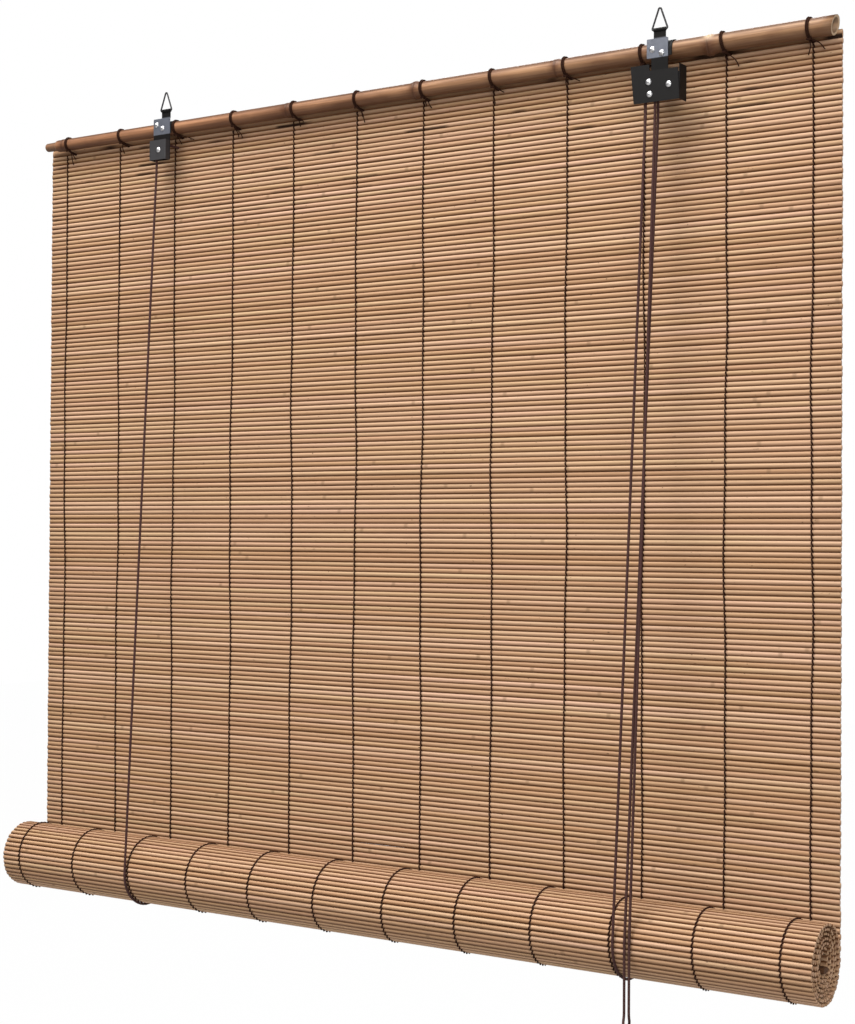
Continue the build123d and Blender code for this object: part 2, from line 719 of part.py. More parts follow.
def make_cross_cord():
    """The left lift cord over its sheave, back through the mat, across and over the lock's sheave."""
    left_top = left_axle_z + left_sheave_radius
    right_top = lock_axle_z + lock_sheave_radius
    left_row_z = mat_top_z - left_cross_row * slat_pitch
    right_row_z = mat_top_z - right_cross_row * slat_pitch
    route = [
        (left_cord_x, left_sheave_y, left_cord_z),
        (left_cord_x, left_sheave_y, left_top),
        (left_cross_x, left_sheave_y, left_top),
        (left_cross_x, cross_y, left_row_z),
        (right_cross_x, cross_y, right_row_z),
        (right_cross_x, lock_groove_back_y, right_top),
        (pull_cord_x, lock_groove_back_y, right_top),
        (pull_cord_x, lock_groove_back_y, lock_cord_z),
    ]
    radii = [left_sheave_radius] + [cross_bend_radius] * 4 + [lock_sheave_radius]
    path = FilletPolyline(*route, radius=radii)
    solid = cord_tube(path)
    report_cord("cross_cord", path, solid, radii)
    return solid


def make_lock_cord():
    """The right lift cord up into the lock, over its sheave and down again."""
    foot = (right_cord_x, lock_groove_front_y, lock_cord_z)
    up = Line(foot, (right_cord_x, lock_groove_front_y, lock_axle_z))
    top = (lock_axle_x, lock_groove_front_y, lock_axle_z + lock_sheave_radius)
    over = ThreePointArc(up @ 1, top, (pull_cord_x, lock_groove_front_y, lock_axle_z))
    down = Line(over @ 1, (pull_cord_x, lock_groove_front_y, lock_cord_z))
    path = Wire([up, over, down])
    solid = cord_tube(path)
    report_cord("lock_cord", path, solid, [lock_sheave_radius])
    return solid


def make_front_cord(top_x, top_y, top_z, roll_x):
    front_y, front_z = front_tangent(top_y, top_z)
    return straight_cord((top_x, top_y, top_z), (roll_x, front_y, front_z))


def make_back_cord(top_x, roll_x):
    return straight_cord((top_x, lip_cord_y, lip_bottom_z), (roll_x, back_cord_y, roll_axis_z))


hank_top_z = roll_axis_z - sling_radius - hank_below_roll


def make_lower_pull_cord(x, groove_y):
    front_y, front_z = front_tangent(groove_y, lock_cord_z)
    return straight_cord((x, front_y, front_z), (x, front_y, hank_top_z))


def hank_place(z):
    front_y, _ = front_tangent(lock_groove_front_y, lock_cord_z)
    return Pos(sum(pull_roll_xs) / len(pull_roll_xs), front_y, z)


def make_cord_hank():
    """The folded length of the pull cord: a flat oval of turns round an open eye."""
    outer = SlotOverall(hank_height, hank_width)
    eye = SlotOverall(hank_height - hank_width + hank_eye_width, hank_eye_width)
    turns = extrude(Plane.XZ * (Rot(0, 0, 90) * (outer - eye)), hank_depth / 2, both=True)
    return hank_place(hank_top_z - hank_height / 2) * turns


def make_hank_tie():
    """A few turns of thread round the hank's waist."""
    inner = Rectangle(hank_width + seat_gap, hank_depth + seat_gap)
    band = offset(inner, tie_thickness) - inner
    return hank_place(hank_top_z - hank_height / 2) * extrude(band, tie_height / 2, both=True)


os.makedirs("parts", exist_ok=True)

save("head_pole", make_head_pole())
save("pole_lashings", *make_pole_lashings())
save("hanging_mat", make_hanging_mat())
save("warp_threads", *make_warp_threads())
save("rolled_mat", make_rolled_mat())
save("roll_threads", *make_roll_threads())
save("bottom_slat", make_bottom_slat())

save("left_ring", make_ring(left_ring_x))
save("left_plate", make_left_plate())
save("left_saddle", make_saddle(left_saddle_left_x, left_saddle_right_x, left_rivet_places, left_cord_top_x))
save("left_plate_rivets", *make_plate_rivets(left_rivet_places))
save("left_case", make_left_case())
save("left_axle", make_axle(left_axle_x, left_axle_z, axle_radius, case_front_y))
left_sheave = make_sheave(left_sheave_radius, left_sheave_width, 1, axle_radius + pin_clearance)
save("left_sheave", Pos(left_axle_x, left_sheave_y, left_axle_z) * (to_front * left_sheave))

save("right_ring", make_ring(right_ring_x))
save("right_plate", make_right_plate())
right_saddle = make_saddle(right_saddle_left_x, right_saddle_right_x, right_rivet_places, right_cord_top_x)
save("right_saddle", right_saddle)
save("right_plate_rivets", *make_plate_rivets(right_rivet_places))
save("lock_face", make_lock_face())
save("lock_axles", *[make_axle(x, z, radius, lock_front_y - plate_thickness) for x, z, radius in lock_axles])
lock_sheave = make_sheave(lock_sheave_radius, lock_width, 2, axle_radius + pin_clearance)
save("lock_sheave", Pos(lock_axle_x, lock_middle_y, lock_axle_z) * (to_front * lock_sheave))
roller_radius = pull_cord_x - cord_radius - seat_gap - roller_axle_x
roller = Cylinder(roller_radius, lock_width) - Cylinder(roller_axle_radius + pin_clearance, lock_width)
save("lock_roller", Pos(roller_axle_x, lock_middle_y, roller_axle_z) * (to_front * roller))
save("lock_cam", make_lock_cam())

save("lift_knots", make_knot(left_cord_top_x), make_knot(right_cord_top_x))
save("cross_cord", make_cross_cord())
save("lock_cord", make_lock_cord())
save("left_front_cord", make_front_cord(left_cord_x, left_sheave_y, left_cord_z, left_cord_roll_x))
save("right_front_cord", make_front_cord(right_cord_x, lock_groove_front_y, lock_cord_z, right_cord_roll_x))
save("left_back_cord", make_back_cord(left_cord_top_x, left_cord_roll_x))
save("right_back_cord", make_back_cord(right_cord_top_x, right_cord_roll_x))
save("left_sling", make_sling(left_cord_roll_x, left_sheave_y, left_cord_z))
save("right_sling", make_sling(right_cord_roll_x, lock_groove_front_y, lock_cord_z))
pull_grooves = (lock_groove_back_y, lock_groove_front_y)
for letter, x, groove_y in zip("ab", pull_roll_xs, pull_grooves):
    save(f"pull_cord_{letter}", make_front_cord(pull_cord_x, groove_y, lock_cord_z, x))
    save(f"lower_pull_cord_{letter}", make_lower_pull_cord(x, groove_y))
save("cord_hank", make_cord_hank())
save("hank_tie", make_hank_tie())

print(f"roll axis y {roll_axis_y:.3f} z {roll_axis_z:.3f}, ring hinge z {ring_hinge_z:.3f}")
print(f"sling radius {sling_radius:.3f}, back cord y {back_cord_y:.3f}")
print(f"rings x {left_ring_x:.3f} {right_ring_x:.3f}, warp {warp_x(0):.3f} by {warp_spacing:.3f}")
print(f"lashings {lashing_first_x:.3f} by {lashing_spacing:.3f}")
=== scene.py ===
from math import acos, atan2, cos, hypot, pi, radians, sin, sqrt, tan

import bpy
import numpy as np
from mathutils import Matrix, Vector


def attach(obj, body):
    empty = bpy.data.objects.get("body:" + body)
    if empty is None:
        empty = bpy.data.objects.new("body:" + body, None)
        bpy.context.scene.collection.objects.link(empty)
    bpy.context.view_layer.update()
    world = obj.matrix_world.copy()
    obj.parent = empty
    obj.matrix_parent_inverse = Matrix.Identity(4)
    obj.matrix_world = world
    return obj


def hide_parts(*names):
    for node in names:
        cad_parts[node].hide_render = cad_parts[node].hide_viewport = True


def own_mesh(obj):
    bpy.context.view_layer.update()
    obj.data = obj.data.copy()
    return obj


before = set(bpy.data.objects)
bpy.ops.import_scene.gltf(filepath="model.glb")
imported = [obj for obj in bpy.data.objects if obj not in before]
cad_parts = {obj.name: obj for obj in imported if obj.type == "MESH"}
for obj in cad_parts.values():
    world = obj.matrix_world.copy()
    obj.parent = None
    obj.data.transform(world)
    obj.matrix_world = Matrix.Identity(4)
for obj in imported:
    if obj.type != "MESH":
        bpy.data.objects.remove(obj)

bl_info = {
    "name": "Bamboo Roll-Up Blind",
    "version": (1, 0, 0),
    "blender": (4, 2, 0),
    "location": "View3D > Sidebar > Blind",
    "description": "Builds the looks of a half-raised bamboo blind on its packed frame",
    "category": "Object",
}


# Sizes and colours a user would change


def length_prop(label, words, default):
    return bpy.props.FloatProperty(name=label, description=words, default=default, unit="LENGTH", precision=5)


def colour_prop(label, words, default):
    return bpy.props.FloatVectorProperty(
        name=label, description=words, default=default, size=3, subtype="COLOR", min=0.0, max=1.0
    )


def share_prop(label, words, default):
    return bpy.props.FloatProperty(
        name=label, description=words, default=default, min=0.0, max=1.0, subtype="FACTOR"
    )


def angle_prop(label, words, default):
    return bpy.props.FloatProperty(name=label, description=words, default=default, subtype="ANGLE")


def count_prop(label, words, default):
    return bpy.props.IntProperty(name=label, description=words, default=default, min=1)


class MatSettings(bpy.types.PropertyGroup):
    """The woven mat, its roll and its threads."""

    width: length_prop("Width", "Length of each slat", 1.2)
    plane: length_prop("Plane", "Depth of the mat's middle plane", 0.023)
    top: length_prop("Top", "Height of the mat's top edge", -0.0529)
    rows: count_prop("Rows", "Slats in the hanging part", 163)
    pitch: length_prop("Pitch", "Distance from slat to slat", 0.0062)
    depth: length_prop("Depth", "Thickness of a slat", 0.0035)
    height_share: share_prop("Height", "Share of the pitch that a slat fills", 1.0)
    roll_radius: length_prop("Roll radius", "From the roll's axis to the hanging mat", 0.0426)
    turn_pitch: length_prop("Turn pitch", "Distance from turn to turn", 0.005)
    turns: count_prop("Turns", "Turns in the roll", 7)
    step_share: share_prop("Step", "Share of a turn that steps in", 0.16)
    warp_first: length_prop("First warp", "Place of the first warp line", -0.5689)
    warp_step: length_prop("Warp step", "Distance from warp line to warp line", 0.103264)
    warps: count_prop("Warps", "Number of warp lines", 12)
    thread: length_prop("Thread", "Radius of a warp strand", 0.00105)
    light: colour_prop("Light slat", "Colour of the palest slats", (0.605, 0.408, 0.266))
    dark: colour_prop("Dark slat", "Colour of the darkest slats", (0.40, 0.225, 0.115))
    # Painted shade: the colour of the slats' dark edges and of the dark gaps between them.
    painted_groove_shade: colour_prop("Groove", "Colour of a slat's shaded edges", (0.085, 0.026, 0.004))
    twine: colour_prop("Twine", "Colour of the warp threads and lashings", (0.026, 0.011, 0.007))


class HeadSettings(bpy.types.PropertyGroup):
    """The bamboo pole and its lashings."""

    left: length_prop("Left end", "Place of the pole's thin end", -0.598)
    right: length_prop("Right end", "Place of the pole's thick end", 0.598)
    left_radius: length_prop("Left radius", "Radius at the thin end", 0.0083)
    right_radius: length_prop("Right radius", "Radius at the thick end", 0.0111)
    front: length_prop("Front line", "Depth of the pole's front line", 0.0018)
    height: length_prop("Height", "Height of the pole's axis", -0.0465)
    lashing_first: length_prop("First lashing", "Place of the first lashing", -0.554)
    lashing_step: length_prop("Lashing step", "Distance from lashing to lashing", 0.101909)
    tan: colour_prop("Tan", "Colour of the cane's lit skin", (0.41, 0.235, 0.122))
    brown: colour_prop("Brown", "Colour of the cane's smoked patches", (0.115, 0.045, 0.02))


class CordSettings(bpy.types.PropertyGroup):
    """The lift and pull cords."""

    radius: length_prop("Radius", "Radius of a cord", 0.0016)
    colour: colour_prop("Colour", "Colour of the cords", (0.05, 0.021, 0.018))
    travel: length_prop("Travel", "How far the roll climbs", 0.80299)
    columns: count_prop("Columns", "Columns of turns in the hank", 6)
    layers: count_prop("Layers", "Layers of turns in the hank", 5)
    turn_step: length_prop("Turn step", "Distance from turn to turn in the hank", 0.0033)


class BracketSettings(bpy.types.PropertyGroup):
    """The steel fittings."""

    clip: colour_prop("Clip", "Colour of the plates' bright bands", (0.20, 0.215, 0.255))
    case: colour_prop("Case", "Colour of the pulley case", (0.02, 0.019, 0.021))
    # The lock colour is also the painted shade on the clip plates outside their bright band.
    lock: colour_prop("Lock", "Colour of the lock and of other dark paint", (0.007, 0.0065, 0.0065))
    rivet: colour_prop("Rivet", "Colour of the rivets", (0.62, 0.62, 0.63))
    wire: colour_prop("Wire", "Colour of the rings", (0.03, 0.03, 0.032))
    nylon: colour_prop("Nylon", "Colour of the sheaves", (0.55, 0.54, 0.50))


class StageSettings(bpy.types.PropertyGroup):
    """Camera, light and floor."""

    eye: bpy.props.FloatVectorProperty(
        name="Eye", description="Camera's place", size=3, subtype="TRANSLATION",
        default=(1.3109, -1.8766, -0.609),
    )
    yaw: angle_prop("Yaw", "Turn to the left", radians(33.4))
    pitch: angle_prop("Pitch", "Tilt up", radians(0.796))
    roll: angle_prop("Roll", "Turn of the frame", radians(0.341))
    lens: bpy.props.FloatProperty(
        name="Lens", description="Focal length", default=63.66, min=10.0, unit="CAMERA"
    )
    floor: length_prop("Floor", "Height of the floor", -1.75)


# Shader maths


class Value:
    """A shader socket: arithmetic on it adds Math nodes to its tree."""

    def __init__(self, tree, socket):
        self.tree = tree
        self.socket = socket

    def math(self, operation, *others):
        made = self.tree.nodes.new("ShaderNodeMath")
        made.operation = operation
        for place, item in zip(made.inputs, (self,) + others):
            plug(self.tree, place, item)
        return Value(self.tree, made.outputs[0])

    def reflected(self, operation, other):
        made = self.tree.nodes.new("ShaderNodeMath")
        made.operation = operation
        plug(self.tree, made.inputs[0], other)
        plug(self.tree, made.inputs[1], self)
        return Value(self.tree, made.outputs[0])

    def __add__(self, other):
        return self.math("ADD", other)

    def __radd__(self, other):
        return self.reflected("ADD", other)

    def __sub__(self, other):
        return self.math("SUBTRACT", other)

    def __rsub__(self, other):
        return self.reflected("SUBTRACT", other)

    def __mul__(self, other):
        return self.math("MULTIPLY", other)

    def __rmul__(self, other):
        return self.reflected("MULTIPLY", other)

    def __truediv__(self, other):
        return self.math("DIVIDE", other)

    def __rtruediv__(self, other):
        return self.reflected("DIVIDE", other)

    def __pow__(self, other):
        return self.math("POWER", other)

    def clamp(self):
        return self.math("MAXIMUM", 0.0).math("MINIMUM", 1.0)

    def above(self, low, high):
        """0 below low and 1 above high, straight in between."""
        return ((self - low) / (high - low)).clamp()

    def mix(self, first, second):
        """A colour between first at 0 and second at 1."""
        made = self.tree.nodes.new("ShaderNodeMix")
        made.data_type = "RGBA"
        plug(self.tree, made.inputs[0], self)
        plug(self.tree, made.inputs[6], first)
        plug(self.tree, made.inputs[7], second)
        return Value(self.tree, made.outputs[2])


def plug(tree, place, item):
    """Links a value to an input, or sets it."""
    if isinstance(item, Value):
        tree.links.new(item.socket, place)
    elif hasattr(item, "__len__") and len(item) == 3 and place.type == "RGBA":
        place.default_value = (*item, 1.0)
    else:
        place.default_value = item


class Shade:
    """One material with a principled shader and the nodes that feed it."""

    def __init__(self, name, **constants):
        self.material = bpy.data.materials.new(name)
        self.material.use_nodes = True
        self.tree = self.material.node_tree
        self.shader = next(n for n in self.tree.nodes if n.type == "BSDF_PRINCIPLED")
        for key, item in constants.items():
            self.feed(key.replace("_", " ").title().replace("Ior", "IOR"), item)

    def feed(self, socket, item):
        plug(self.tree, self.shader.inputs[socket], item)
        return self

    def node(self, kind, output=0, inputs=None, **settings):
        made = self.tree.nodes.new(kind)
        for key, item in settings.items():
            setattr(made, key, item)
        for key, item in (inputs or {}).items():
            plug(self.tree, made.inputs[key], item)
        return Value(self.tree, made.outputs[output])

    def attribute(self, name):
        return self.node("ShaderNodeAttribute", "Fac", attribute_name=name)

    def point(self):
        made = self.tree.nodes.new("ShaderNodeTexCoord")
        split = self.tree.nodes.new("ShaderNodeSeparateXYZ")
        self.tree.links.new(made.outputs["Object"], split.inputs[0])
        return [Value(self.tree, out) for out in split.outputs]

    def vector(self, x, y, z):
        return self.node("ShaderNodeCombineXYZ", inputs={0: x, 1: y, 2: z})

    def noise(self, where, scale, detail=2.0, rough=0.5):
        inputs = {"Vector": where, "Scale": scale, "Detail": detail, "Roughness": rough}
        return self.node("ShaderNodeTexNoise", "Fac", inputs)

    def bump(self, height, strength, distance):
        made = self.node("ShaderNodeBump", 0, {"Height": height, "Strength": strength, "Distance": distance})
        return self.feed("Normal", made)


def bamboo_shade(name, light, dark, painted_groove_shade):
    """Split bamboo: a tone and a hue for each slat, long grain, knots and specks; painted shade on each
    slat's edges, and painted shade as dark gaps, most of them near the top.
    """
    shade = Shade(name, roughness=0.62, specular_ior_level=0.14)
    x, _, z = shade.point()
    seed = shade.attribute("seed")
    rise = shade.attribute("rise")
    grain = shade.noise(shade.vector(x * 5.0, seed * 61.0, rise * 1.5), 1.0, 4.0, 0.6)
    fibre = shade.noise(shade.vector(x * 30.0, seed * 83.0, rise * 7.0), 1.0, 2.0, 0.5)
    speck = shade.noise(shade.vector(x * 160.0, seed * 300.0, rise * 2.0), 1.0, 1.0, 0.5)
    speck = speck.above(0.75, 0.80)
    cell = x * 0.8 + seed * 17.0
    knot = 1.0 - (cell - cell.math("ROUND")).math("ABSOLUTE").above(0.001, 0.003)
    tone = (seed.math("FRACT") * 0.55 + grain * 0.75 + fibre * 0.25 - 0.28).clamp()
    hue = shade.noise(shade.vector(x * 2.5, seed * 40.0, 0.0), 1.0, 2.0).above(0.35, 0.65)
    rosy = [c * k for c, k in zip(light, (1.02, 0.97, 1.04))]
    olive = [c * k for c, k in zip(light, (0.96, 0.98, 0.89))]
    colour = tone.mix(dark, hue.mix(rosy, olive))
    # Painted shade: dark slits on the slats that stand for shaded gaps between them, most of them near the
    # top under the pole.
    painted_gap_shade = shade.noise(shade.vector(x * 9.0, seed * 150.0, 0.0), 1.0, 2.0, 0.5).above(0.61, 0.67)
    painted_gap_shade = painted_gap_shade * (0.1 + z.above(-0.20, -0.06) * 0.9) * (0.0 - rise).above(-0.3, 0.2)
    # Painted shade: each slat's lower side, and a little of its upper rim, is coloured towards the dark
    # groove colour.
    painted_edge_shade = (0.0 - rise).above(-0.4, 0.72) * 0.95 + rise.above(0.66, 0.94) * 0.8
    colour = painted_gap_shade.mix(painted_edge_shade.clamp().mix(colour, painted_groove_shade), [c * 0.2 for c in painted_groove_shade])
    colour = (knot * 0.4).mix(colour, [c * 0.35 for c in dark])
    colour = (speck * 0.75).mix(colour, (0.05, 0.026, 0.014))
    shade.feed("Base Color", colour)
    shade.feed("Roughness", 0.5 + fibre * 0.25)
    return shade.bump(fibre * 0.6 + grain * 0.4, 0.25, 0.0004)


def cane_shade(name, tan_colour, brown):
    """Smoked cane: tan skin, redder to the left, streaked, brown near its nodes, pale where it is cut, with
    painted shade along its top and underside.
    """
    shade = Shade(name, roughness=0.42, specular_ior_level=0.24)
    x, y, z = shade.point()
    node = shade.attribute("node")
    cut = shade.attribute("cut")
    streak = shade.noise(shade.vector(x * 7.0, y * 160.0, z * 160.0), 1.0, 4.0, 0.6)
    blotch = shade.noise(shade.vector(x * 11.0, y * 30.0, z * 30.0), 1.0, 3.0, 0.55)
    smoke = (blotch.above(0.46, 0.66) * 0.5 + node * 0.7 + streak.above(0.34, 0.7) * 0.5 - 0.1).clamp()
    redder = [c * k for c, k in zip(tan_colour, (0.88, 0.74, 0.72))]
    colour = smoke.mix(x.above(-0.3, 0.4).mix(redder, tan_colour), brown)
    fine = shade.noise(shade.vector(x * 10.0, y * 420.0, z * 420.0), 1.0, 2.0, 0.5).above(0.46, 0.62)
    colour = (fine * 0.42).mix(colour, brown)
    # Painted shade: the cane is coloured a darker brown along its top and its underside.
    under = shade.attribute("under")
    colour = (under * 0.68).mix(colour, [c * 0.6 for c in brown])
    colour = (node ** 24.0 * 0.6).mix(colour, [c * 0.5 for c in brown])
    colour = cut.mix(colour, (0.62, 0.45, 0.29))
    shade.feed("Base Color", colour)
    shade.feed("Roughness", 0.36 + blotch * 0.25)
    return shade.bump(streak, 0.2, 0.0004)


def yarn_shade(name, colour, roughness, shine, fuzz_scale, pale):
    """Thread or cord: its colour is mottled by fuzz, from dark to pale times the colour."""
    shade = Shade(name, roughness=roughness, specular_ior_level=shine)
    fuzz = shade.noise(shade.vector(*[axis * fuzz_scale for axis in shade.point()]), 1.0, 2.0)
    shade.feed("Base Color", fuzz.mix([c * 0.6 for c in colour], [min(1.0, c * pale) for c in colour]))
    return shade


def paint_shade(name, colour, roughness, metallic, shine=0.45, dark=None, band=(0.0, 0.0)):
    """Painted or plated sheet with faint wear; outside a band of heights it can take a darker colour, painted
    shade, which leaves the band as a painted highlight.
    """
    shade = Shade(name, specular_ior_level=shine)
    x, y, z = shade.point()
    wear = shade.noise(shade.vector(x * 140.0, y * 140.0, z * 140.0), 1.0, 4.0, 0.6)
    painted = (wear * 0.35).mix(colour, [min(1.0, c * 1.8 + 0.004) for c in colour])
    if dark:
        # Painted shade and painted highlight: dark colour above and below the band, bright metal inside it,
        # chosen by height.
        over = z.above(band[1] - 0.001, band[1] + 0.001)
        bright = z.above(band[0] - 0.0004, band[0] + 0.0004) * (1.0 - over)
        shade.feed("Base Color", bright.mix(dark, painted))
        shade.feed("Metallic", bright * metallic)
        shade.feed("Roughness", roughness + wear * 0.18 + (1.0 - bright) * 0.15)
    else:
        shade.feed("Base Color", painted)
        shade.feed("Metallic", metallic)
        shade.feed("Roughness", roughness + wear * 0.18)
    return shade.bump(wear, 0.08, 0.0003)


# Mesh making


def make_piece(name, verts, faces, material, smooth=True, **attributes):
    """A mesh object of points, faces and point attributes."""
    mesh = bpy.data.meshes.new(name)
    mesh.from_pydata([tuple(v) for v in verts], [], [tuple(f) for f in faces])
    for key, values in attributes.items():
        layer = mesh.attributes.new(key, "FLOAT", "POINT")
        layer.data.foreach_set("value", np.asarray(values, np.float32))
    mesh.polygons.foreach_set("use_smooth", [smooth] * len(mesh.polygons))
    mesh.materials.append(material)
    mesh.update()
    piece = bpy.data.objects.new(name, mesh)
    bpy.context.scene.collection.objects.link(piece)
    return piece


class Builder:
    """Gathers points, faces and attributes of many like shapes into one mesh."""

    def __init__(self, *keys):
        self.verts = []
        self.faces = []
        self.values = {key: [] for key in keys}

    def add(self, rings, capped=True, closed=False, **values):
        """A skin over rings of points: an array of shape (rings, sides, 3)."""
        rings = np.asarray(rings, float)
        count, sides, _ = rings.shape
        base = len(self.verts)
        self.verts.extend(rings.reshape(-1, 3).tolist())
        for ring in range(count if closed else count - 1):
            low = base + ring * sides
            high = base + ((ring + 1) % count) * sides
            for side in range(sides):
                after = (side + 1) % sides
                self.faces.append((low + side, low + after, high + after, high + side))
        if capped and not closed:
            self.faces.append([base + side for side in reversed(range(sides))])
            last = base + (count - 1) * sides
            self.faces.append([last + side for side in range(sides)])
        for key, store in self.values.items():
            item = np.broadcast_to(np.asarray(values.get(key, 0.0), float), (count * sides,))
            store.extend(item.tolist())

    def piece(self, name, material, smooth=True):
        return make_piece(name, self.verts, self.faces, material, smooth, **self.values)


def tube_rings(points, radius, sides=8, lobes=0, twist=0.0, lobe=0.16):
    """Rings round a path; lobes and twist, in turns per metre, give the look of laid strands."""
    points = np.asarray(points, float)
    tangents = np.gradient(points, axis=0)
    tangents /= np.linalg.norm(tangents, axis=1)[:, None]
    run = np.concatenate([[0.0], np.cumsum(np.linalg.norm(np.diff(points, axis=0), axis=1))])
    side = np.cross(tangents[0], (1.0, 0.0, 0.0))
    if np.linalg.norm(side) < 0.2:
        side = np.cross(tangents[0], (0.0, 1.0, 0.0))
    rings = []
    angles = np.arange(sides) * 2 * pi / sides
    for place, tangent, along in zip(points, tangents, run):
        side = side - tangent * side.dot(tangent)
        side /= np.linalg.norm(side)
        other = np.cross(tangent, side)
        reach = radius * np.ones(sides)
        if lobes:
            turned = angles - 2 * pi * twist * along
            reach = radius * (1.0 - lobe + lobe * np.abs(np.cos(lobes * turned / 2)))
        across = (np.cos(angles) * reach)[:, None] * side
        rings.append(place + across + (np.sin(angles) * reach)[:, None] * other)
    return np.array(rings)


def line_points(start, end, step):
    """Points from start to end, about a step apart."""
    start, end = np.asarray(start, float), np.asarray(end, float)
    count = max(2, int(np.linalg.norm(end - start) / step) + 1)
    return start + (end - start) * np.linspace(0.0, 1.0, count)[:, None]


def squash_up(piece, top, bottom, travel):
    """The piece hangs from the head and gets a mesh of its own."""
    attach(piece, "head")
    1.0 - travel / (top - bottom)
    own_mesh(piece)


# Roll geometry


def roll_frame(mat):
    """The roll's axis, and its middle line as a function of the angle wound from the hanging mat's end."""
    axis_y = mat.plane - mat.roll_radius
    axis_z = mat.top - mat.rows * mat.pitch - 0.0003

    def radius_at(angle):
        turn = int(angle / (2 * pi))
        step = max(0.0, angle / (2 * pi) - turn - 1 + mat.step_share) / mat.step_share
        return mat.roll_radius - mat.turn_pitch * (turn + (1 - cos(pi * step)) / 2)

    def at(angle):
        out = np.array((0.0, cos(angle), -sin(angle)))
        return np.array((0.0, axis_y, axis_z)) + out * radius_at(angle), out

    return at, radius_at, axis_y, axis_z


def roll_rows(mat):
    """The angle of each rolled slat's start, outermost first."""
    _, radius_at, _, _ = roll_frame(mat)
    end = 2 * pi * (mat.turns - mat.step_share)
    angles = [0.0]
    while angles[-1] + mat.pitch / radius_at(angles[-1]) < end:
        angles.append(angles[-1] + mat.pitch / radius_at(angles[-1]))
    return angles


def sling_circle(mat, radius):
    """Centre and radius of the cords' line round the roll."""
    _, _, axis_y, axis_z = roll_frame(mat)
    return (axis_y, axis_z), mat.roll_radius + mat.depth / 2 + 0.0003 + radius


def front_tangent(center, reach, y, z):
    """Where a cord from (y, z) meets the front of the roll."""
    away = hypot(y - center[0], z - center[1])
    angle = atan2(z - center[1], y - center[0]) + acos(reach / away)
    return center[0] + reach * cos(angle), center[1] + reach * sin(angle), angle


slat_sides = 10
slat_angles = np.arange(slat_sides) * 2 * pi / slat_sides + pi / slat_sides
slat_stations = 25
hidden_stations = 5
end_chamfer = 0.0005
end_shrink = 0.8
end_rise = 0.35


def slat_places(low, high, count):
    """Places along a slat, with one close to each end for its chamfer."""
    inner = np.linspace(low + end_chamfer, high - end_chamfer, count - 2)
    return np.concatenate([[low], inner, [high]])


def slat_rises(count):
    """How far up each point lies on its slat, from -1 to 1; the cut ends have one value."""
    rises = np.tile(np.sin(slat_angles), (count, 1))
    rises[[0, -1]] = end_rise
    return rises.ravel()


def slat_rings(rng, xs, half_height, half_depth, up, out, middle):
    """Rings of one slat: its height, place and edges wander a little along its length."""
    phases = rng.uniform(0, 2 * pi, 4)
    waves = rng.uniform(0.5, 1.0, 4)
    sway = 0.00022 * waves[0] * np.sin(xs * 5.0 + phases[0])
    sway = sway + 0.00016 * waves[1] * np.sin(xs * 13.0 + phases[1])
    swell = 1.0 + 0.03 * waves[2] * np.sin(xs * 9.0 + phases[2]) + 0.02 * np.sin(xs * 31.0 + phases[3])
    c = np.sign(np.cos(slat_angles)) * np.abs(np.cos(slat_angles)) ** 0.9
    s = np.sign(np.sin(slat_angles)) * np.abs(np.sin(slat_angles)) ** 0.95
    high = half_height * swell
    deep = np.full(len(xs), half_depth)
    high[[0, -1]] *= end_shrink
    deep[[0, -1]] *= end_shrink
    rings = np.zeros((len(xs), len(slat_angles), 3))
    rings += middle
    rings[:, :, 0] = xs[:, None]
    rings += (sway[:, None] + high[:, None] * s)[:, :, None] * up
    rings += (deep[:, None] * c)[:, :, None] * out
    return rings


# Pieces


class BLIND_OT_slats(bpy.types.Operator):
    """Builds the hanging slats"""

    bl_idname = "blind.slats"
    bl_label = "Hanging Slats"

    def execute(self, context):
        mat = context.scene.blind_mat
        cords = context.scene.blind_cords
        rng = np.random.default_rng(11)
        made = Builder("seed", "rise")
        up = np.array((0.0, 0.0, 1.0))
        out = np.array((0.0, -1.0, 0.0))
        half = mat.width / 2
        rises = slat_rises(slat_stations)
        first_slat_grows = 0.0018
        for row in range(mat.rows):
            ends = rng.uniform(-0.0005, 0.0005, 2)
            xs = slat_places(-half - ends[0], half + ends[1], slat_stations)
            depth = mat.plane + rng.uniform(-0.0003, 0.0003)
            middle = np.array((0.0, depth, mat.top - (row + 0.5) * mat.pitch))
            middle[2] += rng.uniform(-0.00016, 0.00016)
            high = mat.pitch * mat.height_share / 2 * rng.uniform(1.11, 1.17)
            if row == 0:
                middle[2] += first_slat_grows
                high += first_slat_grows
            rings = slat_rings(rng, xs, high, mat.depth / 2, up, out, middle)
            made.add(rings, seed=rng.uniform(0, 1), rise=rises)
        piece = made.piece("slats", materials["slats"])
        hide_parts("hanging_mat")
        squash_up(piece, mat.top, mat.top - mat.rows * mat.pitch, cords.travel)
        return {"FINISHED"}


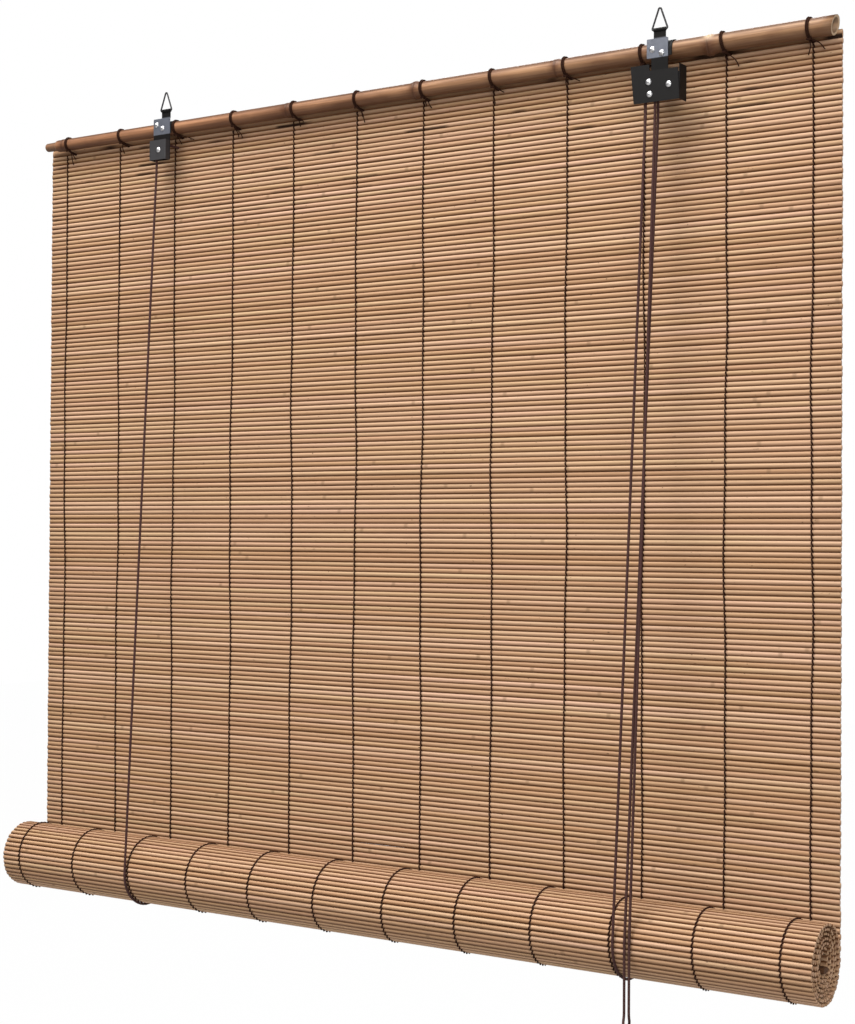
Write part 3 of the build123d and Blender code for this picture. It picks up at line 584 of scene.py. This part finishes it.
class BLIND_OT_warp(bpy.types.Operator):
    """Builds the twined threads of the hanging mat"""

    bl_idname = "blind.warp"
    bl_label = "Warp Threads"

    def execute(self, context):
        mat = context.scene.blind_mat
        cords = context.scene.blind_cords
        made = Builder()
        steps = np.arange((mat.rows - 1) * 4 + 1) / 4.0 + 1.0
        bulge = mat.depth / 2 + mat.thread * 0.8
        for index in range(mat.warps):
            for side in (0.0, 1.0):
                wave = np.cos(pi * (steps - 0.5 + side))
                y = mat.plane - bulge * np.sign(wave) * np.abs(wave) ** 0.45
                x = mat.warp_first + index * mat.warp_step + 0.0008 * np.sin(pi * (steps - 0.5 + side))
                wander = 0.0015 * np.sin(steps * 0.075 + index * 1.7) + 0.0007 * np.sin(steps * 0.21 + index)
                x = x + wander * np.sin(pi * steps / mat.rows)
                z = mat.top - steps * mat.pitch
                made.add(tube_rings(np.stack([x, y, z], 1), mat.thread, 5))
        piece = made.piece("twined_threads", materials["twine"])
        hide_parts("warp_threads")
        squash_up(piece, mat.top - 0.0086, mat.top - mat.rows * mat.pitch, cords.travel)
        return {"FINISHED"}


class BLIND_OT_roll(bpy.types.Operator):
    """Builds the rolled slats and their threads"""

    bl_idname = "blind.roll"
    bl_label = "Roll"

    def execute(self, context):
        mat = context.scene.blind_mat
        at, _, _, _ = roll_frame(mat)
        starts = roll_rows(mat)
        rng = np.random.default_rng(23)
        made = Builder("seed", "rise")
        half = mat.width / 2
        shown_turns = 1.3
        hidden_share = 0.9
        for start, end in zip(starts, starts[1:]):
            middle, out = at((start + end) / 2)
            index = start / (2 * pi)
            up = np.cross(out, (1.0, 0.0, 0.0))
            shown = index < shown_turns
            stations = slat_stations if shown else hidden_stations
            drift = 0.0012 * sin(index * 1.8) - 0.0003 * index
            ends = rng.uniform(-0.0007, 0.0006, 2)
            xs = slat_places(-half + drift - ends[0], half + drift + ends[1], stations)
            high = mat.pitch * mat.height_share / 2 * rng.uniform(1.0, 1.06)
            slim = 1.0 if shown else hidden_share
            rings = slat_rings(rng, xs, high * slim, mat.depth * slim / 2, up, out, middle)
            made.add(rings, seed=rng.uniform(0, 1), rise=slat_rises(stations))
        piece = made.piece("rolled_slats", materials["slats"])
        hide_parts("rolled_mat")
        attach(piece, "roll")
        threads = Builder()
        thread_slats = 50
        steps = np.arange(thread_slats * 4 + 1) / 4.0
        bulge = mat.depth / 2 + mat.thread * 0.8
        for index in range(mat.warps):
            for side in (0.0, 1.0):
                points = []
                for step in steps:
                    middle, out = at(float(np.interp(step, range(len(starts)), starts)))
                    wave = cos(pi * (step - 0.5 + side))
                    place = middle + out * bulge * (abs(wave) ** 0.45) * (1 if wave > 0 else -1)
                    place[0] = mat.warp_first + index * mat.warp_step + 0.0008 * sin(pi * (step - 0.5 + side))
                    place[0] += 0.0022 * sin(step * 0.11 + index * 0.7) * min(1.0, step / 8)
                    points.append(place)
                threads.add(tube_rings(points, mat.thread, 5))
        piece = threads.piece("rolled_threads", materials["twine"])
        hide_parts("roll_threads")
        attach(piece, "roll")
        # The bottom slat takes the dark colour that is painted shade at the roll's core.
        paint_node("bottom_slat", "painted_shade_bottom_slat")
        return {"FINISHED"}


pole_nodes = (0.029, 0.370, 0.5385, 0.7085, 0.8745)


def pole_radius(head, x):
    """Radius of the cane at x, its nodes left out."""
    share = (x - head.left) / (head.right - head.left)
    return head.left_radius + (head.right_radius - head.left_radius) * share


def pole_axis(head, x):
    """Depth of the cane's axis at x: its front line is straight."""
    return head.front + pole_radius(head, x)


class BLIND_OT_pole(bpy.types.Operator):
    """Builds the bamboo pole"""

    bl_idname = "blind.pole"
    bl_label = "Pole"

    def execute(self, context):
        head = context.scene.blind_head
        span = head.right - head.left
        places = set(np.linspace(head.left, head.right, 61).tolist())
        for share in pole_nodes:
            for shift in (-11, -8, -6, -4, -2.6, -1.6, -0.8, 0, 0.8, 1.6, 2.6, 4, 6, 8, 11):
                places.add(head.left + share * span + shift / 1000)
        places = sorted(p for p in places if head.left <= p <= head.right)
        sides = 28
        angles = np.arange(sides) * 2 * pi / sides
        slant = tan(radians(14.0))
        rings, nodes, cuts = [], [], []

        def ring(x, radius, node, cut, tilt):
            xs = x + tilt * (np.sin(angles) * radius - head.right_radius) * slant
            ys = pole_axis(head, x) + np.cos(angles) * radius
            rings.append(np.stack([xs, ys, head.height + np.sin(angles) * radius], 1))
            nodes.extend([node] * sides)
            cuts.extend(np.broadcast_to(cut, sides).tolist())

        bore_share = 0.72
        tip = head.left_radius * bore_share
        ring(head.left, 0.0008, 0.6, 0.45, 0.0)
        ring(head.left, tip * 0.9, 0.6, 0.45, 0.0)
        ring(head.left + 0.0012, tip, 0.8, 0.1, 0.0)
        ring(head.left + 0.019, tip * 1.06, 0.7, 0.1, 0.0)
        ring(head.left + 0.0215, pole_radius(head, head.left) * 0.97, 0.6, 0.15, 0.0)
        for x in places:
            if x < head.left + 0.0225:
                continue
            radius = pole_radius(head, x)
            node = 0.0
            for number, share in enumerate(pole_nodes):
                gap = (x - head.left - share * span) * 1000
                size = (0.7, 0.8, 0.85, 0.9, 1.5)[number] / 1000
                radius += size * np.exp(-((gap / 3.6) ** 2)) - 0.9 * size * np.exp(-((gap / 0.9) ** 2))
                node = max(node, float(np.exp(-((gap / 9.0) ** 2))))
            knob = np.exp(-(((x - head.left - pole_nodes[4] * span) * 1000 / 6.0) ** 2))
            scar = knob * np.maximum(0.0, np.cos(angles - 0.72 * pi)) ** 6
            spur = knob * np.maximum(0.0, np.cos(angles + 0.55 * pi)) ** 5
            bud = np.exp(-(((x - head.left - pole_nodes[2] * span) * 1000 / 4.5) ** 2))
            bud = bud * np.abs(np.sin(angles)) ** 5
            radius = radius - 0.0012 * scar + 0.0019 * spur + 0.0013 * bud
            tilt = float(np.clip((x - head.right + 0.02) / 0.02, 0, 1))
            ring(x, radius, node, 0.8 * scar, tilt)
        inner = head.right_radius * bore_share
        ring(head.right, head.right_radius * 0.97, 0.0, 0.9, 1.0)
        ring(head.right, inner * 1.08, 0.0, 0.9, 1.0)
        ring(head.right - 0.0006, inner, 0.2, 0.3, 1.0)
        ring(head.right - 0.05, inner * 0.9, 1.0, 0.0, 0.0)
        ring(head.right - 0.06, 0.0006, 1.0, 0.0, 0.0)
        made = Builder("node", "cut", "under")
        # Painted shade: how strongly each side of a ring is coloured darker, along the cane's top and
        # underside.
        rise = np.sin(angles)
        shaded = 1.15 * np.clip(0.1 - rise, 0, 1) + 1.25 * np.clip((rise - 0.38) / 0.26, 0, 1)
        under = np.tile(shaded, len(rings))
        made.add(np.array(rings), node=np.array(nodes), cut=np.array(cuts), under=under)
        piece = made.piece("cane", materials["cane"])
        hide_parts("head_pole")
        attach(piece, "head")
        return {"FINISHED"}


def hull_loop(first, first_radius, second, second_radius, count):
    """Points round two circles joined by their outer tangents, in (y, z)."""
    dense = np.linspace(0, 2 * pi, 241)[:-1]
    cloud = []
    for center, radius in ((first, first_radius), (second, second_radius)):
        cloud.append(np.stack([center[0] + radius * np.cos(dense), center[1] + radius * np.sin(dense)], 1))
    cloud = np.concatenate(cloud)
    order = cloud[np.lexsort((cloud[:, 1], cloud[:, 0]))]

    def chain(points):
        kept = []
        for p in points:
            while len(kept) > 1:
                a, b = kept[-2], kept[-1]
                if (b[0] - a[0]) * (p[1] - a[1]) - (b[1] - a[1]) * (p[0] - a[0]) > 0:
                    break
                kept.pop()
            kept.append(p)
        return kept

    outline = np.array(chain(order)[:-1] + chain(order[::-1])[:-1])
    closed = np.vstack([outline, outline[:1]])
    run = np.concatenate([[0.0], np.cumsum(np.linalg.norm(np.diff(closed, axis=0), axis=1))])
    at = np.linspace(0, run[-1], count, endpoint=False)
    return np.stack([np.interp(at, run, closed[:, 0]), np.interp(at, run, closed[:, 1])], 1)


class BLIND_OT_lashings(bpy.types.Operator):
    """Builds the lashings that tie the mat to the pole"""

    bl_idname = "blind.lashings"
    bl_label = "Lashings"

    def execute(self, context):
        head = context.scene.blind_head
        mat = context.scene.blind_mat
        rng = np.random.default_rng(5)
        made = Builder()
        thread = mat.thread * 0.95
        count = 40
        turns = 2
        for index in range(mat.warps):
            x = head.lashing_first + index * head.lashing_step
            radius = pole_radius(head, x)
            pole = (pole_axis(head, x), head.height)
            slat = (mat.plane, mat.top - mat.pitch / 2)
            loop = hull_loop(pole, radius + thread + 0.0002, slat, 0.0026 + thread, count)
            loop = np.roll(loop, -int(np.argmax(loop[:, 0] + 0.2 * loop[:, 1])), axis=0)
            lean = rng.uniform(-0.4, 0.1)
            points = []
            for step in range(turns * count + 1):
                y, z = loop[step % count]
                turn = step / count
                shift = (turn - turns / 2) * 0.0019 + lean * 0.004 * (z - head.height) / 0.012
                grow = 1.0 + 0.03 * sin(turn * 3.0)
                y, z = pole[0] + (y - pole[0]) * grow, head.height + (z - head.height) * grow
                points.append((x + shift, y, z))
            made.add(tube_rings(points, thread, 6))
            knot = np.array((x - lean * 0.003, pole[0] - radius * 0.45, head.height - radius * 1.05))
            for turn in range(3):
                spin = np.linspace(0, 2 * pi, 13)
                across, out, up = np.cos(spin), np.sin(spin + turn), np.sin(spin + turn * 1.2)
                ring = knot + np.stack([0.0019 * across, 0.0011 * out, 0.0016 * up], 1)
                made.add(tube_rings(ring, thread * 1.05, 6))
            s = np.linspace(0, 1, 11)
            for number in range(2):
                reach = rng.uniform(0.010, 0.024)
                side = rng.uniform(0.3, 1.0) if number else rng.uniform(-0.35, 0.35)
                drop = sqrt(max(0.15, 1.0 - side * side))
                tail = np.stack(
                    [
                        knot[0] + reach * side * s + 0.0012 * np.sin(s * 6 + index),
                        knot[1] + (0.003 + mat.plane - mat.depth - 0.004 - knot[1]) * s**0.7,
                        knot[2] - reach * drop * s**1.4 * 0.9,
                    ],
                    1,
                )
                made.add(tube_rings(tail, thread * 0.7, 5))
        piece = made.piece("lashings", materials["twine"])
        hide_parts("pole_lashings")
        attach(piece, "head")
        return {"FINISHED"}


def paint_node(node, material):
    """A CAD node in its own shape, with a material."""
    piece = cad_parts[node]
    piece.data.materials.clear()
    piece.data.materials.append(materials[material])
    return piece


class BLIND_OT_brackets(bpy.types.Operator):
    """Paints the steel fittings and the small parts of the lock"""

    bl_idname = "blind.brackets"
    bl_label = "Brackets"

    def execute(self, context):
        for node in ("left_plate", "right_plate"):
            soften(paint_node(node, "clip"), 0.00018)
        soften(paint_node("left_case", "case"), 0.00022)
        for node in ("left_saddle", "right_saddle", "lock_face"):
            soften(paint_node(node, "lock"), 0.00022)
        for node in ("left_plate_rivets", "left_axle", "right_plate_rivets", "lock_axles"):
            soften(paint_node(node, "rivet"), 0.0)
        for node in ("left_ring", "right_ring"):
            soften(paint_node(node, "wire"), 0.0)
        for node in ("left_sheave", "lock_sheave", "lock_roller"):
            soften(paint_node(node, "nylon"), 0.00015)
        soften(paint_node("lock_cam", "zinc"), 0.00015)
        return {"FINISHED"}


def soften(piece, width):
    """Smooth shading on curved faces and, where it has a width, a small bevel on edges."""
    if width:
        bevel = piece.modifiers.new("edges", "BEVEL")
        bevel.width = width
        bevel.segments = 2
        bevel.limit_method = "ANGLE"
        bevel.angle_limit = radians(40)
        bevel.harden_normals = False
    for face in piece.data.polygons:
        face.use_smooth = True
    smooth = piece.modifiers.new("corners", "EDGE_SPLIT")
    smooth.split_angle = radians(38)


class BLIND_OT_cords(bpy.types.Operator):
    """Builds the lift cords, the pull cords and their hank"""

    bl_idname = "blind.cords"
    bl_label = "Cords"

    def execute(self, context):
        mat = context.scene.blind_mat
        cords = context.scene.blind_cords
        radius = cords.radius
        center, reach = sling_circle(mat, radius)
        left_top = np.array((-0.374382, -0.0045, -0.104))
        right_top = np.array((0.378082, -0.012725, -0.123))
        pull_tops = (np.array((0.390082, -0.004775, -0.123)), np.array((0.390082, -0.012725, -0.123)))
        pull_xs = (0.382782, 0.388682)
        roll_xs = (-0.366282, 0.367882)
        names = ("left", "right")

        strands = 3
        lay_turns = 140.0
        lay_swell = 1.06
        fine_step = 0.0011

        def laid_cord(name, path):
            made = Builder()
            made.add(tube_rings(path, radius * lay_swell, 9, strands, lay_turns))
            piece = made.piece(name, materials["cord"])
            return piece

        for name, top, x in zip(names, (left_top, right_top), roll_xs):
            y, z, angle = front_tangent(center, reach, top[1], top[2])
            piece = laid_cord(f"{name}_lift_front", line_points(top, (x, y, z), fine_step))
            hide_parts(f"{name}_front_cord")
            squash_up(piece, top[2], z, cords.travel)
            arc = np.linspace(angle, 2 * pi, 90)
            around = (center[0] + reach * np.cos(arc), center[1] + reach * np.sin(arc))
            sling = laid_cord(f"{name}_under_roll", np.stack([np.full(len(arc), x), *around], 1))
            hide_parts(f"{name}_sling")
            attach(sling, "lift_loop")
        for name, top_x, x in zip(names, (-0.367982, 0.386082), roll_xs):
            top = (top_x, center[0] + reach + 0.0015, -0.0517)
            end = (x, center[0] + reach, center[1])
            piece = laid_cord(f"{name}_lift_back", line_points(top, end, fine_step))
            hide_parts(f"{name}_back_cord")
            squash_up(piece, top[2], center[1], cords.travel)
        for node in ("lift_knots", "cross_cord", "lock_cord", "hank_tie"):
            soften(paint_node(node, "cord"), 0.0)
        ends = []
        for letter, top, x in zip("ab", pull_tops, pull_xs):
            y, z, _ = front_tangent(center, reach, top[1], top[2])
            piece = laid_cord(f"pull_{letter}", line_points(top, (x, y, z), fine_step))
            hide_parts(f"pull_cord_{letter}")
            squash_up(piece, top[2], z, cords.travel)
            end = np.array((x, y, z))
            length = float(np.linalg.norm(end - top))
            line_points(top, end, 0.02).tolist()
            ends.append(end)
        self.lower_loop(cords, ends, center, reach, radius)
        return {"FINISHED"}

    def lower_loop(self, cords, ends, center, reach, radius):
        """One cord: down from the first pull strand, round the hank's turns and up into the second."""
        step = cords.turn_step
        eye = 0.0055
        inner = eye + radius
        layers, columns = cords.layers, cords.columns
        outer = inner + (layers - 1) * step
        below_roll = 0.047
        top_z = center[1] - reach - below_roll
        half_straight = 0.015
        mid = np.array(((ends[0][0] + ends[1][0]) / 2, ends[1][1], top_z - outer - radius - half_straight))
        order = []
        for column in range(columns):
            run = range(layers) if column % 2 else reversed(range(layers))
            order += [(column, layer) for layer in run]

        def place(column, layer):
            return inner + layer * step, (column - (columns - 1) / 2) * step

        points = []
        start = ends[0]
        for share in np.linspace(0, 1, 8):
            points.append((start[0], start[1], start[2] + (top_z + 0.016 - start[2]) * share))
        y0 = place(*order[0])[1]
        points.append((start[0] + 0.0004, start[1] + (y0 + mid[1] - start[1]) * 0.35, top_z + 0.010))
        points.append((start[0] + 0.0026, start[1] + (y0 + mid[1] - start[1]) * 0.8, top_z + 0.004))
        for number, (column, layer) in enumerate(order):
            r, y = place(column, layer)
            final = number == len(order) - 1
            after = place(*order[number + 1]) if not final else (r, y)
            first = pi / 2 - (0.55 if number == 0 else 0.0)
            for angle in np.linspace(first, 0.0, 6):
                points.append((mid[0] + r * cos(angle), mid[1] + y, mid[2] + half_straight + r * sin(angle)))
            points.append((mid[0] + r, mid[1] + y, mid[2]))
            for angle in np.linspace(0.0, -pi, 10):
                points.append((mid[0] + r * cos(angle), mid[1] + y, mid[2] - half_straight + r * sin(angle)))
            points.append((mid[0] - (r + after[0]) / 2, mid[1] + (y + after[1]) / 2, mid[2]))
            r, y = after
            stop = pi / 2 + (0.6 if final else 0.25)
            for angle in np.linspace(pi, stop, 5):
                points.append((mid[0] + r * cos(angle), mid[1] + y, mid[2] + half_straight + r * sin(angle)))
        end = ends[1]
        y1 = place(*order[-1])[1] + mid[1]
        points.append((end[0] - 0.0035, y1 + (end[1] - y1) * 0.2, top_z + 0.0038))
        points.append((end[0] - 0.0004, y1 + (end[1] - y1) * 0.65, top_z + 0.010))
        for share in np.linspace(0, 1, 8):
            points.append((end[0], end[1], top_z + 0.016 + (end[2] - top_z - 0.016) * share))
        curve = bpy.data.curves.new("lower_pull_cord", "CURVE")
        curve.dimensions = "3D"
        curve.bevel_depth = radius
        curve.bevel_resolution = 2
        curve.resolution_u = 3
        curve.use_fill_caps = True
        spline = curve.splines.new("NURBS")
        spline.points.add(len(points) - 1)
        for spot, p in zip(spline.points, points):
            spot.co = (*p, 1.0)
        spline.order_u = 3
        spline.use_endpoint_u = True
        piece = bpy.data.objects.new("lower_pull_cord", curve)
        curve.materials.append(materials["cord"])
        bpy.context.scene.collection.objects.link(piece)
        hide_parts("lower_pull_cord_a", "lower_pull_cord_b", "cord_hank")
        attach(piece, "lift_loop")
        fine = np.array(points)
        for _ in range(2):
            near = 0.75 * fine[:-1] + 0.25 * fine[1:]
            far = 0.25 * fine[:-1] + 0.75 * fine[1:]
            cut = np.empty((2 * len(near), 3))
            cut[0::2] = near
            cut[1::2] = far
            fine = np.vstack([fine[:1], cut, fine[-1:]])


class BLIND_OT_stage(bpy.types.Operator):
    """Sets the camera, the studio light and the floor"""

    bl_idname = "blind.stage"
    bl_label = "Stage"

    def execute(self, context):
        stage = context.scene.blind_stage
        scene = context.scene
        scene.view_settings.view_transform = "Standard"
        right = Vector((cos(stage.yaw), sin(stage.yaw), 0.0))
        level = cos(stage.pitch)
        ahead = Vector((-sin(stage.yaw) * level, cos(stage.yaw) * level, sin(stage.pitch)))
        up = right.cross(ahead)
        turned = right * cos(stage.roll) + up * sin(stage.roll)
        upright = up * cos(stage.roll) - right * sin(stage.roll)
        lens = bpy.data.cameras.new("camera")
        lens.lens = stage.lens
        lens.sensor_width = 36.0
        camera = bpy.data.objects.new("camera", lens)
        axes = Matrix((turned, upright, -ahead)).transposed().to_4x4()
        camera.matrix_world = Matrix.Translation(stage.eye) @ axes
        scene.collection.objects.link(camera)
        scene.camera = camera
        lens.clip_end = 60.0

        def lamp(name, place, aim, size, power, colour):
            light = bpy.data.lights.new(name, "AREA")
            light.shape = "DISK"
            light.size = size
            light.energy = power
            light.color = colour
            lit = bpy.data.objects.new(name, light)
            lit.location = place
            lit.rotation_euler = (Vector(aim) - Vector(place)).to_track_quat("-Z", "Y").to_euler()
            scene.collection.objects.link(lit)
            return lit

        aim = (0.0, 0.0, -0.55)
        lamps = [
            lamp("key", (-1.3, -2.6, 3.2), aim, 3.1, 200.0, (1.0, 0.97, 0.93)),
            lamp("fill", (2.4, -2.6, 0.4), aim, 2.2, 56.0, (1.0, 0.98, 0.96)),
            lamp("top", (0.2, -0.95, 3.3), aim, 2.3, 165.0, (1.0, 1.0, 1.0)),
            lamp("back", (-0.8, 2.6, 1.2), aim, 2.2, 95.0, (1.0, 0.98, 0.96)),
        ]
        mesh = bpy.data.meshes.new("floor")
        wide = 9.0
        corners = [(x * wide, y * wide, stage.floor) for x, y in ((-1, -1), (1, -1), (1, 1), (-1, 1))]
        mesh.from_pydata(corners, [], [(0, 1, 2, 3)])
        floor = bpy.data.objects.new("floor", mesh)
        scene.collection.objects.link(floor)
        shade = Shade("floor", base_color=(0.42, 0.42, 0.42), roughness=0.9)
        mesh.materials.append(shade.material)
        tree = shade.tree
        seen = shade.node("ShaderNodeLightPath", "Is Camera Ray")
        glow = tree.nodes.new("ShaderNodeEmission")
        glow.inputs["Color"].default_value = (1.0, 1.0, 1.0, 1.0)
        blend = tree.nodes.new("ShaderNodeMixShader")
        plug(tree, blend.inputs[0], seen * 0.99)
        tree.links.new(shade.shader.outputs[0], blend.inputs[1])
        tree.links.new(glow.outputs[0], blend.inputs[2])
        output = next(n for n in tree.nodes if n.type == "OUTPUT_MATERIAL")
        tree.links.new(blend.outputs[0], output.inputs["Surface"])
        world = bpy.data.worlds.new("studio")
        scene.world = world
        world.use_nodes = True
        sky = world.node_tree
        ground = next(n for n in sky.nodes if n.type == "BACKGROUND")
        path = sky.nodes.new("ShaderNodeLightPath")
        seen = Value(sky, path.outputs["Is Camera Ray"])
        plug(sky, ground.inputs["Color"], seen.mix((0.26, 0.26, 0.27), (1.0, 1.0, 1.0)))
        ground.inputs["Strength"].default_value = 1.0
        return {"FINISHED"}


class BLIND_PT_panel(bpy.types.Panel):
    """Lists the blind's pieces and its settings"""

    bl_idname = "BLIND_PT_panel"
    bl_label = "Blind"
    bl_space_type = "VIEW_3D"
    bl_region_type = "UI"
    bl_category = "Blind"

    def draw(self, context):
        for kind in pieces:
            self.layout.operator(kind.bl_idname)
        for key, kind in settings.items():
            box = self.layout.box()
            for name in kind.__annotations__:
                box.prop(getattr(context.scene, key), name)


settings = {
    "blind_mat": MatSettings,
    "blind_head": HeadSettings,
    "blind_cords": CordSettings,
    "blind_brackets": BracketSettings,
    "blind_stage": StageSettings,
}
pieces = (
    BLIND_OT_slats,
    BLIND_OT_warp,
    BLIND_OT_roll,
    BLIND_OT_pole,
    BLIND_OT_lashings,
    BLIND_OT_brackets,
    BLIND_OT_cords,
    BLIND_OT_stage,
)
materials = {}


def make_materials(scene):
    """One material for each finish."""
    mat, head, cords, metal = scene.blind_mat, scene.blind_head, scene.blind_cords, scene.blind_brackets
    materials["slats"] = bamboo_shade("slats", list(mat.light), list(mat.dark), list(mat.painted_groove_shade)).material
    materials["cane"] = cane_shade("cane", list(head.tan), list(head.brown)).material
    # Painted shade: the bottom slat at the roll's core is coloured dark brown, standing for the shade in the
    # roll's hollow.
    materials["painted_shade_bottom_slat"] = bamboo_shade(
        "bottom_slat", (0.16, 0.09, 0.05), (0.09, 0.045, 0.025), list(mat.painted_groove_shade)
    ).material
    materials["twine"] = yarn_shade("twine", list(mat.twine), 0.95, 0.05, 900.0, 1.7).material
    materials["cord"] = yarn_shade("cord", list(cords.colour), 0.78, 0.22, 600.0, 1.6).material
    # The clip plates: painted highlight in their band, painted shade in the lock colour above and below it.
    materials["clip"] = paint_shade(
        "clip_steel", list(metal.clip), 0.26, 0.8, 0.12, list(metal.lock), (-0.0556, -0.0335)
    ).material
    materials["case"] = paint_shade("case_paint", list(metal.case), 0.5, 0.0).material
    materials["lock"] = paint_shade("lock_paint", list(metal.lock), 0.5, 0.0, 0.14).material
    materials["rivet"] = paint_shade("rivet_steel", list(metal.rivet), 0.22, 1.0).material
    materials["wire"] = paint_shade("ring_wire", list(metal.wire), 0.35, 0.2).material
    materials["nylon"] = paint_shade("nylon", list(metal.nylon), 0.45, 0.0).material
    materials["zinc"] = paint_shade("zinc", (0.5, 0.5, 0.5), 0.4, 0.9).material


def register():
    for kind in settings.values():
        bpy.utils.register_class(kind)
    for key, kind in settings.items():
        setattr(bpy.types.Scene, key, bpy.props.PointerProperty(type=kind))
    for kind in pieces:
        bpy.utils.register_class(kind)
    bpy.utils.register_class(BLIND_PT_panel)


def unregister():
    bpy.utils.unregister_class(BLIND_PT_panel)
    for kind in reversed(pieces):
        bpy.utils.unregister_class(kind)
    for key, kind in settings.items():
        delattr(bpy.types.Scene, key)
        bpy.utils.unregister_class(kind)


def main():
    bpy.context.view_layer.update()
    register()
    make_materials(bpy.context.scene)
    bpy.ops.blind.slats()
    bpy.ops.blind.warp()
    bpy.ops.blind.roll()
    bpy.ops.blind.pole()
    bpy.ops.blind.lashings()
    bpy.ops.blind.brackets()
    bpy.ops.blind.cords()
    bpy.ops.blind.stage()


if __name__ == "__main__":
    main()
